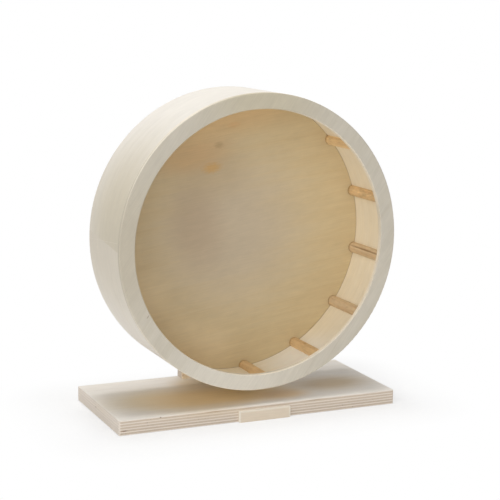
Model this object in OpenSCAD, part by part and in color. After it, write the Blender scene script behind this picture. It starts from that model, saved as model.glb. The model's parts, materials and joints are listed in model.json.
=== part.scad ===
// Rodent exercise wheel: a bent plywood drum with half-round rungs, turning on two ball bearings
// in an upright board. Millimetres. The origin is the centre of the base's underside, X runs to
// the right, Y from the open front to the back, and Z up.

/* [Drum] */
// Outside diameter of the drum
drum_d = 290; // [220:1:340]
// Depth of the drum, from the front ring's face to its back edge
drum_depth = 91; // [60:0.5:140]
// Thickness of the bent strip that makes the running surface
band_t = 3; // [2.5:0.1:6]
// Thickness of the disc that closes the back
disc_t = 15; // [9:0.5:18]
// Slit between the two ends of the bent strip
seam_gap = 0.3; // [0.1:0.1:1]
// Angle of that slit at its middle, anticlockwise from the right as seen from the front
seam_angle = 178.5; // [150:0.5:200]
// Lean of that slit from the axle's direction, because the strip's ends are cut askew
seam_lean = 5.5; // [0:0.5:12]
// Radius sanded on the drum's outer edge at the back
back_ease = 0.8; // [0.3:0.1:2]

/* [Front ring] */
// Thickness of the flat ring on the open side
ring_t = 5; // [3.5:0.5:9]
// Width of the ring's face
ring_w = 15.5; // [12:0.5:25]
// Radius sanded on the ring's two front edges
ring_ease = 1; // [0.5:0.1:2.5]

/* [Rungs] */
// Number of half-round rungs across the running surface
rung_count = 15; // [9:1:24]
// Width of a rung
rung_w = 11; // [6:0.5:16]
// Height of a rung's straight sides, below its half round
rung_side = 0.5; // [0:0.1:3]
// Angle of the first rung, beside the slit, anticlockwise from the right as seen from the front
first_rung_angle = 177.5; // [150:0.5:200]
// Space between the last rung and the first, as a share of the space between the others
last_space = 0.6; // [0.6:0.05:2]

/* [Stand] */
// Width of the base board
base_w = 295; // [200:1:360]
// Thickness of the board that the base and the upright are cut from
board_t = 15; // [15:0.5:24]
// Radius sanded on the edges of both boards
board_ease = 1.5; // [0.5:0.1:2]
// Radius of the base board's corners, seen from above
base_corner = 2; // [1:0.5:12]
// How far the base reaches ahead of the drum
front_margin = 4.4; // [0:0.1:40]
// Gap between the drum and the top of the base
drum_clearance = 14; // [6:0.5:30]
// Width of the upright
upright_w = 78; // [50:1:120]

/* [Label plate] */
// Width of the small bare plate on the base's front edge
plate_w = 55; // [30:1:90]
// Height of the plate
plate_h = 11.5; // [8:0.5:14]
// Thickness of the plate
plate_t = 3; // [1.5:0.5:5]
// Distance of the plate's middle from the base's middle
plate_x = 2; // [-80:1:80]
// Radius of the plate's corners
plate_corner = 1; // [0.5:0.1:3]
// Radius sanded on the plate's edges
plate_ease = 0.5; // [0.2:0.1:0.7]

/* [Hub] */
// Diameter of the round block behind the disc
hub_d = 60; // [55:1:90]
// Thickness of the round block
hub_t = 12; // [10:0.5:20]
// Radius sanded on the block's rear edge
hub_ease = 2; // [0.5:0.1:4]
// Number of screws that hold the block to the disc
hub_screw_count = 3; // [3:1:6]
// Diameter of the circle on which those screws lie
hub_screw_circle = 42; // [36:1:44]

/* [Axle] */
// Diameter of the axle bolt and bore of the bearings
bolt_d = 8; // [6:0.5:9]
// Width across the flats of the bolt's head and both nuts
bolt_flats = 13; // [12:0.5:16]
// Height of the bolt's head
bolt_head_h = 5.3; // [4:0.1:6]
// Thread that stands past the lock nut
bolt_tip = 1.9; // [1.2:0.1:6]
// Chamfer on the bolt's end
bolt_chamfer = 0.8; // [0.4:0.1:1]
// Diameter of the washer behind the hub block
washer_d = 16; // [13:0.5:20]
// Thickness of that washer
washer_t = 1.6; // [1:0.1:3]
// Height of the thin nut that clamps the bolt to the hub block
hub_nut_h = 4; // [3:0.1:6]
// Thickness of the shim between that nut and the front bearing
front_shim_t = 2; // [1:0.1:6]
// Thickness of the shim between the rear bearing and the lock nut
rear_shim_t = 1; // [0.5:0.1:4]
// Height of the lock nut, collar included
lock_nut_h = 8; // [7:0.1:12]
// Diameter of the lock nut's round collar
collar_d = 11.6; // [11.4:0.1:11.8]
// Height of the lock nut's round collar
collar_h = 2.2; // [1.5:0.1:3]
// Outside diameter of the nylon ring in the collar
insert_d = 10.2; // [9.6:0.1:10.8]

/* [Ball bearings] */
// Outside diameter of a bearing
bearing_d = 22; // [20:0.5:26]
// Width of a bearing
bearing_w = 7; // [6:0.1:7.4]
// Diameter of the balls
ball_d = 3.97; // [3.6:0.01:4.4]
// Number of balls in a bearing
ball_count = 7; // [5:1:8]
// Gap between the shoulders of the inner and the outer ring
shoulder_gap = 3.05; // [2.6:0.05:3.4]
// Chamfer on the corners of both rings
ring_chamfer = 0.3; // [0.1:0.05:0.5]
// Wall of the ball cage, measured from the axle outwards
cage_wall = 1.4; // [0.8:0.1:1.8]
// Thickness of the cage's closed side, past the balls
cage_back = 0.6; // [0.3:0.1:0.7]
// How far the cage's arms reach past the middle of the balls
cage_arm = 1.3; // [0.8:0.1:1.6]
// Thickness of the pressed shields
shield_t = 0.3; // [0.2:0.05:0.5]
// Depth of the shields' faces below those of the rings
shield_set = 0.25; // [0.1:0.05:0.3]
// How far a shield's inner edge is pressed in towards the balls
shield_lip = 0.4; // [0.1:0.1:0.6]

/* [Screws] */
// Number of screws from under the base into the upright
foot_screw_count = 3; // [2:1:4]
// Distance between those screws
foot_screw_pitch = 25; // [12:1:30]
// Diameter of those screws
foot_screw_d = 4; // [3:0.5:6]
// Diameter of their countersunk heads
foot_screw_head = 8; // [7:0.5:10]
// Length of those screws inside the upright
foot_screw_bite = 25; // [15:1:40]
// Diameter of the hub block's screws
hub_screw_d = 3.5; // [3:0.5:5]
// Diameter of their countersunk heads
hub_screw_head = 7; // [6:0.5:8]
// Length of those screws inside the disc
hub_screw_bite = 8; // [4:0.5:8.5]
// Depth of all those heads below the wood
screw_sink = 0.3; // [0.1:0.1:1]

/* [Fits] */
// Glue line round the disc, inside the bent strip
glue_gap = 0.1; // [0.05:0.05:0.3]
// Radial clearance of the bolt in rings, nuts and shims
shaft_fit = 0.03; // [0.01:0.01:0.1]
// Radial clearance of the bolt in washer and wood, and of screws in their holes
hole_fit = 0.2; // [0.05:0.05:0.4]
// Clearance of the bolt's head in its pocket, at the flats and in front
pocket_fit = 0.2; // [0.05:0.05:0.5]
// Radial clearance of a bearing in its seat
seat_fit = 0.02; // [0.01:0.01:0.1]
// Clearance of the balls in their grooves
ball_fit = 0.05; // [0.02:0.01:0.1]
// Clearance of the balls in the cage
cage_fit = 0.1; // [0.05:0.01:0.2]
// Gap between a shield and the inner ring
shield_gap = 0.3; // [0.2:0.05:0.5]

/* [Hidden] */
$fn = 120;
birch = "#DCCFB6";
beech = "#C89F6B";
steel = "#B4B8BC";
bright = "#D6D9DC";
nylon = "#EDEFEF";

// How far a cutting shape reaches past the faces that it cuts
cut = 1;
// Circle to which a hexagon's corners are turned off, as a share of its flats, and the slope there
hexagon_circle = 0.95;
hexagon_slope = 30;

// Heights above the floor
axle_z = board_t + drum_clearance + drum_d / 2;

// Radii of the drum
drum_r = drum_d / 2;
band_in_r = drum_r - band_t;
disc_r = band_in_r - glue_gap;
ring_in_r = drum_r - ring_w;
// A rung's flat back touches the strip along its two long edges
rung_seat_r = sqrt(pow(band_in_r, 2) - pow(rung_w / 2, 2));
rung_round_r = rung_seat_r - rung_side;
rung_pitch = 360 / (rung_count - 1 + last_space);

// Stations along the axle, from the front of the base to the end of the bolt
axle_stack = hub_t + washer_t + hub_nut_h + front_shim_t;
base_depth = front_margin + drum_depth + axle_stack + board_t;
base_front = -base_depth / 2;
ring_front = base_front + front_margin;
band_front = ring_front + ring_t;
drum_back = ring_front + drum_depth;
disc_front = drum_back - disc_t;
hub_back = drum_back + hub_t;
hub_nut_front = hub_back + washer_t;
front_shim_front = hub_nut_front + hub_nut_h;
upright_front = front_shim_front + front_shim_t;
upright_back = upright_front + board_t;
lock_nut_front = upright_back + rear_shim_t;
bolt_end = lock_nut_front + lock_nut_h + bolt_tip;
pocket_depth = bolt_head_h + pocket_fit;

// Bearings, which lie flush with the two faces of the upright
bearing_r = bearing_d / 2;
bore_r = bolt_d / 2;
shank_r = bore_r - shaft_fit;
pitch_r = (bore_r + bearing_r) / 2;
groove_r = ball_d / 2 + ball_fit;
inner_shoulder_r = pitch_r - shoulder_gap / 2;
outer_shoulder_r = pitch_r + shoulder_gap / 2;
shield_in_r = inner_shoulder_r + shield_gap;
shield_out_r = (outer_shoulder_r + bearing_r) / 2;
shield_front = bearing_w / 2 - shield_set - shield_t;
front_bearing_y = upright_front + bearing_w / 2;
rear_bearing_y = upright_back - bearing_w / 2;
spacer_t = board_t - 2 * bearing_w;

function hexagon_r(flats) = flats / 2 / cos(30);
function rung_name(i) = str("rung_", i < 10 ? "0" : "", i);
function rung_angle(i) = first_rung_angle + (i - 1) * rung_pitch;

// Stands children that were drawn along Z on the axle's line, with their Z = 0 at station y
module on_axle(y) {
  translate([0, y, axle_z])
    rotate([-90, 0, 0])
      children();
}

// Rectangle from the origin, with its four corners rounded
module eased_rect(w, h, r) {
  translate([r, 0])
    square([w - 2 * r, h]);
  translate([0, r])
    square([w, h - 2 * r]);
  for (x = [r, w - r], y = [r, h - r])
    translate([x, y])
      circle(r);
}

// Section of a turned plate from radius in_r to out_r, with the corners at its lower end rounded
// where the inner or the outer one has a radius
module turned_section(in_r, out_r, h, in_ease = 0, out_ease = 0) {
  ease = max(in_ease, out_ease);
  translate([in_r, ease])
    square([out_r - in_r, h - ease]);
  translate([in_r + in_ease, 0])
    square([out_r - out_ease - in_r - in_ease, h]);
  if (in_ease > 0)
    translate([in_r + in_ease, in_ease])
      circle(in_ease);
  if (out_ease > 0)
    translate([out_r - out_ease, out_ease])
      circle(out_ease);
}

// Sawn and sanded board with a corner at the origin; each radius rounds the edges along one axis
module eased_board(size, along_x, along_y, along_z) {
  intersection() {
    linear_extrude(size.z)
      eased_rect(size.x, size.y, along_z);
    translate([0, size.y, 0])
      rotate([90, 0, 0])
        linear_extrude(size.y)
          eased_rect(size.x, size.z, along_y);
    rotate([90, 0, 90])
      linear_extrude(size.x)
        eased_rect(size.y, size.z, along_x);
  }
}

module tube(in_r, out_r, h) {
  difference() {
    cylinder(r = out_r, h = h);
    translate([0, 0, -cut])
      cylinder(r = in_r, h = h + 2 * cut);
  }
}

// Countersunk wood screw: its head's flat top lies at Z = 0 and its point looks down
module wood_screw(d, head_d, l) {
  head_h = (head_d - d) / 2;
  point_h = d;
  rotate_extrude()
    polygon([
      [0, 0],
      [head_d / 2, 0],
      [d / 2, -head_h],
      [d / 2, point_h - l],
      [0, -l]
    ]);
}

// Space that a sunk wood screw takes below a face at Z = 0, with its fit
module screw_hole(d, head_d, l) {
  hole_head_d = head_d + 2 * hole_fit;
  translate([0, 0, -screw_sink])
    wood_screw(d + 2 * hole_fit, hole_head_d, l + hole_fit);
  translate([0, 0, -screw_sink - hole_fit / 2])
    cylinder(d = hole_head_d, h = screw_sink + cut);
}

// Wood screw whose head lies sunk below a face at Z = 0
module sunk_screw(d, head_d, l) {
  translate([0, 0, -screw_sink])
    wood_screw(d, head_d, l);
}

// Hexagon with the corners of its upper end turned off, and those of its lower end if asked
module hexagon_block(flats, h, both = false) {
  corner_r = hexagon_r(flats);
  flat_r = hexagon_circle * flats / 2;
  bevel = (corner_r - flat_r) * tan(hexagon_slope);
  low = both ? bevel : 0;
  intersection() {
    cylinder(r = corner_r, h = h, $fn = 6);
    rotate_extrude()
      polygon([
        [0, 0],
        [both ? flat_r : corner_r, 0],
        [corner_r, low],
        [corner_r, h - bevel],
        [flat_r, h],
        [0, h]
      ]);
  }
}

// Section of a bearing ring between two radii, centred on the balls' plane
module bearing_ring_section(in_r, out_r) {
  c = ring_chamfer;
  top = bearing_w / 2;
  polygon([
    [in_r + c, -top],
    [out_r - c, -top],
    [out_r, c - top],
    [out_r, top - c],
    [out_r - c, top],
    [in_r + c, top],
    [in_r, top - c],
    [in_r, c - top]
  ]);
}

module at_balls() {
  for (i = [1 : ball_count])
    rotate(i * 360 / ball_count)
      translate([pitch_r, 0, 0])
        children();
}

module bearing_outer(y) {
  color(steel)
    on_axle(y)
      rotate_extrude()
        difference() {
          bearing_ring_section(outer_shoulder_r, bearing_r);
          translate([pitch_r, 0])
            circle(groove_r);
          for (side = [-1, 1])
            translate([0, side * (shield_front + bearing_w / 2) - bearing_w / 2])
              square([shield_out_r, bearing_w]);
        }
}

module bearing_inner(y) {
  color(steel)
    on_axle(y)
      rotate_extrude()
        difference() {
          bearing_ring_section(bore_r, inner_shoulder_r);
          translate([pitch_r, 0])
            circle(groove_r);
        }
}

module bearing_balls(y) {
  color(bright)
    on_axle(y)
      at_balls()
        sphere(d = ball_d);
}

// Crown cage: a ring closed behind the balls, with open pockets snapped over them from behind
module bearing_cage(y) {
  color(nylon)
    on_axle(y)
      difference() {
        translate([0, 0, -cage_arm])
          tube(pitch_r - cage_wall / 2, pitch_r + cage_wall / 2,
               cage_arm + ball_d / 2 + cage_fit + cage_back);
        at_balls()
          sphere(d = ball_d + 2 * cage_fit);
      }
}

// Pressed shields, crimped into the outer ring, with the inner edge turned in beside the cage
module bearing_shields(y) {
  color(bright)
    on_axle(y)
      for (side = [0, 1])
        mirror([0, 0, side])
          rotate_extrude()
            polygon([
              [shield_in_r, shield_front - shield_lip],
              [shield_in_r + shield_t, shield_front - shield_lip],
              [shield_in_r + shield_t, shield_front],
              [shield_out_r, shield_front],
              [shield_out_r, shield_front + shield_t],
              [shield_in_r + shield_t, shield_front + shield_t],
              [shield_in_r, shield_front]
            ]);
}

module base_board() {
  color(birch)
    difference() {
      translate([-base_w / 2, base_front, 0])
        eased_board([base_w, base_depth, board_t], board_ease, board_ease, base_corner);
      at_foot_screws()
        screw_hole(foot_screw_d, foot_screw_head, board_t + foot_screw_bite);
    }
}

// Puts children under the upright's middle plane, looking up
module at_foot_screws() {
  for (i = [1 : foot_screw_count])
    translate([(i - (foot_screw_count + 1) / 2) * foot_screw_pitch,
               (upright_front + upright_back) / 2, 0])
      rotate([180, 0, 0])
        children();
}

// Straight board up to the axle, then a half round about it, bored for both bearings
module upright() {
  color(birch)
    difference() {
      union() {
        translate([-upright_w / 2, upright_front, board_t])
          linear_extrude(axle_z - board_t)
            eased_rect(upright_w, board_t, board_ease);
        on_axle(upright_front)
          rotate(180)
            rotate_extrude(angle = 180)
              half_plate_section(upright_w / 2, board_t, board_ease);
      }
      on_axle(upright_front)
        bearing_seats();
      at_foot_screws()
        screw_hole(foot_screw_d, foot_screw_head, board_t + foot_screw_bite);
    }
}

// Section of a round plate from its axis out, with both rim corners rounded
module half_plate_section(r, h, ease) {
  square([r - ease, h]);
  translate([0, ease])
    square([r, h - 2 * ease]);
  for (y = [ease, h - ease])
    translate([r - ease, y])
      circle(ease);
}

// Seats from both faces, with a web between them that both outer rings rest against
module bearing_seats() {
  translate([0, 0, -cut])
    cylinder(r = outer_shoulder_r, h = board_t + 2 * cut);
  for (z = [-cut, board_t - bearing_w])
    translate([0, 0, z])
      cylinder(r = bearing_r + seat_fit, h = bearing_w + cut);
}

module foot_screws() {
  color(steel)
    at_foot_screws()
      sunk_screw(foot_screw_d, foot_screw_head, board_t + foot_screw_bite);
}

module label_plate() {
  color(birch)
    translate([plate_x - plate_w / 2, base_front - plate_t, 0])
      eased_board([plate_w, plate_t, plate_h], plate_ease, plate_corner, plate_ease);
}

module front_ring() {
  color(birch)
    on_axle(ring_front)
      rotate_extrude()
        turned_section(ring_in_r, drum_r, ring_t, ring_ease, ring_ease);
}

// Bent strip, its back edge flush with the disc's, cut through where its two ends meet
module tread_band() {
  length = drum_back - band_front;
  color(birch)
    on_axle(drum_back)
      mirror([0, 0, 1])
        difference() {
          rotate_extrude()
            turned_section(band_in_r, drum_r, length, 0, back_ease);
          rotate(-seam_angle)
            translate([drum_r, 0, length / 2])
              rotate([-seam_lean, 0, 0])
                cube([2 * (band_t + cut), seam_gap, length + 4 * cut], center = true);
        }
}

module back_disc() {
  color(birch)
    difference() {
      on_axle(disc_front)
        cylinder(r = disc_r, h = disc_t);
      at_hub_screws()
        screw_hole(hub_screw_d, hub_screw_head, hub_t + hub_screw_bite);
    }
}

// Half-round moulding, flat side out, from the front ring's back to the disc
module rung(i) {
  color(beech)
    on_axle(band_front)
      rotate(-rung_angle(i))
        linear_extrude(disc_front - band_front) {
          translate([rung_round_r, -rung_w / 2])
            square([rung_side, rung_w]);
          translate([rung_round_r, 0])
            intersection() {
              circle(d = rung_w);
              translate([-rung_w, -rung_w / 2])
                square(rung_w);
            }
        }
}

// Puts children on the hub block's rear face, looking forward into the disc
module at_hub_screws() {
  on_axle(hub_back)
    for (i = [1 : hub_screw_count])
      rotate(i * 360 / hub_screw_count + 90)
        translate([hub_screw_circle / 2, 0, 0])
          children();
}

module hub_block() {
  color(birch)
    difference() {
      on_axle(hub_back)
        mirror([0, 0, 1])
          rotate_extrude()
            turned_section(0, hub_d / 2, hub_t, 0, hub_ease);
      on_axle(drum_back - cut)
        cylinder(r = bore_r + hole_fit, h = hub_t + 2 * cut);
      on_axle(drum_back - cut)
        cylinder(r = hexagon_r(bolt_flats + 2 * pocket_fit), h = pocket_depth + cut, $fn = 6);
      at_hub_screws()
        screw_hole(hub_screw_d, hub_screw_head, hub_t + hub_screw_bite);
    }
}

module hub_screws() {
  color(steel)
    at_hub_screws()
      sunk_screw(hub_screw_d, hub_screw_head, hub_t + hub_screw_bite);
}

// Hexagon bolt, its head against the pocket's floor and its shank through everything behind
module axle_bolt() {
  head_back = drum_back + pocket_depth;
  shank_l = bolt_end - head_back;
  color(steel)
    on_axle(head_back) {
      mirror([0, 0, 1])
        hexagon_block(bolt_flats, bolt_head_h);
      rotate_extrude()
        polygon([
          [0, -bolt_head_h / 2],
          [shank_r, -bolt_head_h / 2],
          [shank_r, shank_l - bolt_chamfer],
          [shank_r - bolt_chamfer, shank_l],
          [0, shank_l]
        ]);
    }
}

module hub_washer() {
  color(bright)
    on_axle(hub_back)
      tube(bore_r + hole_fit, washer_d / 2, washer_t);
}

module hub_nut() {
  color(steel)
    on_axle(hub_nut_front)
      difference() {
        hexagon_block(bolt_flats, hub_nut_h, true);
        translate([0, 0, -cut])
          cylinder(r = bore_r, h = hub_nut_h + 2 * cut);
      }
}

// Ring that touches a bearing's inner ring and nothing else of it
module shim(y, t) {
  color(bright)
    on_axle(y)
      tube(bore_r, inner_shoulder_r, t);
}

module lock_nut() {
  color(steel)
    on_axle(lock_nut_front)
      difference() {
        union() {
          hexagon_block(bolt_flats, lock_nut_h - collar_h, true);
          cylinder(d = collar_d, h = lock_nut_h);
        }
        translate([0, 0, -cut])
          cylinder(r = bore_r, h = lock_nut_h + 2 * cut);
        translate([0, 0, lock_nut_h - collar_h])
          cylinder(d = insert_d, h = collar_h + cut);
      }
}

module lock_nut_insert() {
  color(nylon)
    on_axle(lock_nut_front + lock_nut_h - collar_h)
      tube(bore_r, insert_d / 2, collar_h);
}

base_board();
upright();
foot_screws();
label_plate();
front_ring();
tread_band();
back_disc();
hub_block();
hub_screws();
axle_bolt();
hub_washer();
hub_nut();
shim(front_shim_front, front_shim_t);  // front_shim
shim(upright_front + bearing_w, spacer_t);  // spacer_ring
shim(upright_back, rear_shim_t);  // rear_shim
lock_nut();
lock_nut_insert();
bearing_outer(front_bearing_y);  // front_bearing_outer
bearing_inner(front_bearing_y);  // front_bearing_inner
bearing_balls(front_bearing_y);  // front_bearing_balls
bearing_cage(front_bearing_y);  // front_bearing_cage
bearing_shields(front_bearing_y);  // front_bearing_shields
bearing_outer(rear_bearing_y);  // rear_bearing_outer
bearing_inner(rear_bearing_y);  // rear_bearing_inner
bearing_balls(rear_bearing_y);  // rear_bearing_balls
bearing_cage(rear_bearing_y);  // rear_bearing_cage
bearing_shields(rear_bearing_y);  // rear_bearing_shields
for (i = [1 : rung_count])
  rung(i);
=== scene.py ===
"""Rodent exercise wheel: finishes and fine pieces of a plywood drum turning in an upright."""

import json
import math

import bmesh
import bpy
from mathutils import Matrix, Vector


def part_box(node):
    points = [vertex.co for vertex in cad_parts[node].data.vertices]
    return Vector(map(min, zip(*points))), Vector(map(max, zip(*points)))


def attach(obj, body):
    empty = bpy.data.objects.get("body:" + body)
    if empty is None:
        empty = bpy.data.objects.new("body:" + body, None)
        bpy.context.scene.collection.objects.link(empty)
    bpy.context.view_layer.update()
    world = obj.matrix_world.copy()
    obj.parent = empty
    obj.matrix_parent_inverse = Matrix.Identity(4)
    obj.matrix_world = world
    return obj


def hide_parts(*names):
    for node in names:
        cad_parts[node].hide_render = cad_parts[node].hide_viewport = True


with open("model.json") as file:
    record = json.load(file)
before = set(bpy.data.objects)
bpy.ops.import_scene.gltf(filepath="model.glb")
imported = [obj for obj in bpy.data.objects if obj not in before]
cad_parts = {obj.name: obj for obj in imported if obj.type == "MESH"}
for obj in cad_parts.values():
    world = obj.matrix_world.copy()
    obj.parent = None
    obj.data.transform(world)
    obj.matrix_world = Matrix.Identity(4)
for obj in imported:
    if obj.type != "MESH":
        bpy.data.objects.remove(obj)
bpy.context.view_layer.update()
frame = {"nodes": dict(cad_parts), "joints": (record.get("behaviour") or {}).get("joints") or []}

bl_info = {
    "name": "Plywood Exercise Wheel",
    "version": (1, 0, 0),
    "blender": (4, 5, 0),
    "location": "3D View > Sidebar > Wheel",
    "description": "Finishes a plywood running wheel and sets it on a white studio floor",
    "category": "Object",
}

MM = 0.001
RIGHT, BACK, UP = Vector((1, 0, 0)), Vector((0, 1, 0)), Vector((0, 0, 1))
AXLE = Vector(next(joint["pos_m"] for joint in frame["joints"] if joint["name"] == "wheel_spin"))

# Nodes that are used often
MATH, VECTOR = "ShaderNodeMath", "ShaderNodeVectorMath"
MIX, RANGE = "ShaderNodeMix", "ShaderNodeMapRange"
NOISE, SPOT, BUMP = "ShaderNodeTexNoise", "ShaderNodeTexCoord", "ShaderNodeBump"
COMBINE, SEPARATE = "ShaderNodeCombineXYZ", "ShaderNodeSeparateXYZ"

WOOD_IOR = 1.5
# Marks shorter than this, in millimetres, have an edge as ragged as the fibres
SMALL_MARK = 30

# Knots, stains, patches and painted light and shade of each panel. Each has its place and size in
# millimetres along the face grain, across it and up through the panel, its colour or the setting
# that holds it, and a strength. A later mark lies over an earlier one, and one far larger than the
# panel is a strip.
BASE_MARKS = (
    # Painted warm shade where the drum's shadow falls along the base's middle: tan at the left,
    # honey, painted bounce light under the drum, tan at the right
    ((-96, -12, 15), (130, 104, 30), "tan", 0.85),
    ((-52, -20, 15), (150, 110, 30), "painted_warm_shade", 0.95),
    ((-32, 30, 15), (70, 56, 10), "painted_warm_shade", 0.6),
    ((0, -20, 15), (130, 80, 30), "painted_bounce_light", 1.0),
    ((98, -19, 15), (106, 66, 30), "#CDB99A", 1.0),
    # More painted warm shade in front of them
    ((35, -38, 15), (70, 44, 30), "#EDD0A6", 0.9),
    # Left end, duller from the saw
    ((-148, 0, 7.5), (4, 900, 900), "#D5CBBE", 0.35),
    # Knot and open joints in the edges
    ((-142, -65, 4.7), (8, 4, 1.4), "#7A4A24", 0.8),
    ((-106, -65, 14.0), (2.4, 3, 1.6), "#6E5138", 0.8),
    ((-147, 5, 9.4), (3, 4, 2.2), "#8A6A4C", 0.7),
    ((-50, -65, 13.6), (34, 3, 1.0), "#B08A5C", 0.7),
    ((60, -65, 13.8), (42, 3, 1.0), "#A98A66", 0.7),
)
UPRIGHT_MARKS = (
    # Honey patch at the foot's left corner: warm wood, painted paler as painted light where it
    # stands outside the drum's shadow; with two dark specks
    ((21, -36, 0), (30, 20, 8), "#FFE8C4", 0.9),
    ((23.5, -39.5, 0), (3, 2.4, 4), "#6E5138", 0.7),
    ((19.0, -38.4, 0), (4, 2, 3), "#A87A50", 0.6),
)
RING_MARKS = (
    # Painted shade: warmer and darker at the top, which gets less bounce light from below
    ((112, -79, 0), (150, 150, 30), "#CABE9F", 0.5),
    # Pin knot at the lower left
    ((-118.2, -60.1, 0), (5, 1.6, 3), "#8C7355", 0.6),
    # Painted bounce light, paler at the bottom, and painted shade, warmer and darker at the left
    ((-120, 50, 0), (180, 160, 30), "#E4DDCF", 0.7),
    ((-79, -112, 0), (210, 120, 30), "#C9BFAB", 0.8),
    # Painted shade that dulls the outer wall at the left, and a painted bounce highlight on the
    # eased edge at the bottom
    ((-83, -119, 3.2), (330, 330, 6.6), "#CBC1AC", 0.95),
    ((-119, 83, 0.6), (220, 260, 1.3), "#FFF3DC", 0.9),
)
BAND_MARKS = (
    # Painted light: palest inside, at the lower right, where the tread is lit through the opening
    ((-157, -78, 0), (96, 150, 3), "#FFFCF4", 0.85),
    # Painted shade: duller outside on the drum's left, above and below the slit
    ((430, -105, 3), (260, 240, 6), "#CDC2A9", 0.8),
    ((-446, -75, 3), (240, 260, 6), "#D3C8B3", 0.7),
)
DISC_MARKS = (
    # Greyer in the middle
    ((-4, 0, 0), (222, 206, 40), "disc_middle", 0.9),
    # Painted light: paler along the rim at the lower left, against the shade of ring and strip
    ((-124, 2, 0), (72, 96, 30), "#F3DEB6", 0.5),
    ((-107, 50, 0), (76, 76, 30), "#F3DEB6", 0.65),
    ((-80, 94, 0), (76, 76, 30), "#F3DEB6", 0.55),
    ((-46, 116, 0), (80, 70, 30), "#F3DEB6", 0.65),
    # Painted shadow of the drum's rim: darker to the left of the middle and above it
    ((-36, -14, 0), (76, 120, 30), "#BAA488", 0.6),
    ((-9, -64, 0), (96, 70, 30), "#BFAA88", 0.5),
    # Warmer towards the top
    ((-32, -84, 0), (110, 44, 20), "#DDB27A", 0.45),
    ((0, -118, 0), (230, 60, 40), "#F0C68C", 0.45),
    # Resin, a faint streak and a grown-over knot
    ((-11.4, -67.9, 0), (26, 14, 8), "#D6A04C", 0.5),
    ((18.3, -106, 0), (18, 8, 6), "#D99A55", 0.2),
    ((-0.6, -89.2, 0), (13, 9, 4), "#A88A64", 0.4),
)
# A knot on one moulding and a dark line along another, placed to the right of the axle, back from
# the origin and up from the axle
WARM_RUNG_MARK = ((71.4, -11.6, -116.1), (4, 9, 4), "#B07A42", 0.5)
GREY_RUNG_MARK = ((134.6, -20, -21.5), (2.4, 90, 2.4), "#8A6238", 0.7)

# The moulding each rung was cut from, first rung to last, then again from the start
RUNG_ORDER = (
    "grey", "warm", "light", "clouded", "warm", "warm", "grey", "grey", "clouded", "light")

# Directions of the hub screws round the axle, in degrees anticlockwise from the right
HUB_SCREW_ANGLES = (-90, 30, 150)

# Where the softboxes stand, in metres: the one overhead without its height
SOFTBOX_ABOVE = (-0.04, -0.02)
SOFTBOX_FRONT = (-1.985, -2.205, 1.37)


def linear(hex_colour):
    """Linear RGBA of an sRGB colour such as #DCCFB6."""
    parts = [int(hex_colour[i:i + 2], 16) / 255 for i in (1, 3, 5)]
    return [p / 12.92 if p <= 0.04045 else ((p + 0.055) / 1.055) ** 2.4 for p in parts] + [1.0]


def rgba(colour):
    """A setting's colour with full opacity."""
    return list(colour)[:3] + [1.0]


def coloured(marks, settings):
    """Marks with their colours as linear RGBA."""
    done = []
    for at, size, tint, strength in marks:
        tint = linear(tint) if tint.startswith("#") else rgba(getattr(settings, tint))
        done.append((at, size, tint, strength))
    return done


def colour_prop(name, description, hex_colour):
    return bpy.props.FloatVectorProperty(
        name=name, description=description, subtype="COLOR", min=0, max=1,
        default=linear(hex_colour)[:3])


def size_prop(name, description, mm):
    return bpy.props.FloatProperty(
        name=name, description=description, unit="LENGTH", min=0, default=mm * MM, precision=5)


class WheelBoardSettings(bpy.types.PropertyGroup):
    """Thick birch plywood of the base, the upright and the hub block."""

    face: colour_prop("Face", "Sanded birch veneer", "#F4EEE5")
    streak: colour_prop("Streak", "Darker growth streaks in the veneer", "#ECE3D6")
    # Painted warm shade: honey tint where the drum's shadow falls on the base
    painted_warm_shade: colour_prop("Heartwood", "Honey-coloured heartwood along the base's middle", "#DFC291")
    # Painted bounce light: golden tint that lightens the drum's shadow on the base
    painted_bounce_light: colour_prop("Gold", "Golden end of the heartwood, under the drum", "#FFE3B0")
    # Painted shade: tan tint in the drum's shadow towards the base's left end
    tan: colour_prop("Tan", "Tan veneer towards the base's left end", "#D6C4A2")
    label: colour_prop("Label", "Duller veneer of the label plate", "#E8D9C4")
    # Label edges, painted paler as a highlight of the eased edges
    label_edge_and_highlight: colour_prop("Label edge", "Paler sanded edge of the label plate", "#F6EEDF")
    label_ply: size_prop("Label ply", "Thickness of one ply of the label plate", 1.0)
    long_ply: colour_prop("Long ply", "Edge of a ply that runs along the edge", "#EDE1D3")
    end_ply: colour_prop("End ply", "Edge of a ply that ends at the edge", "#D3C1AD")
    ply: size_prop("Ply", "Thickness of one ply", 15 / 11)


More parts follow.
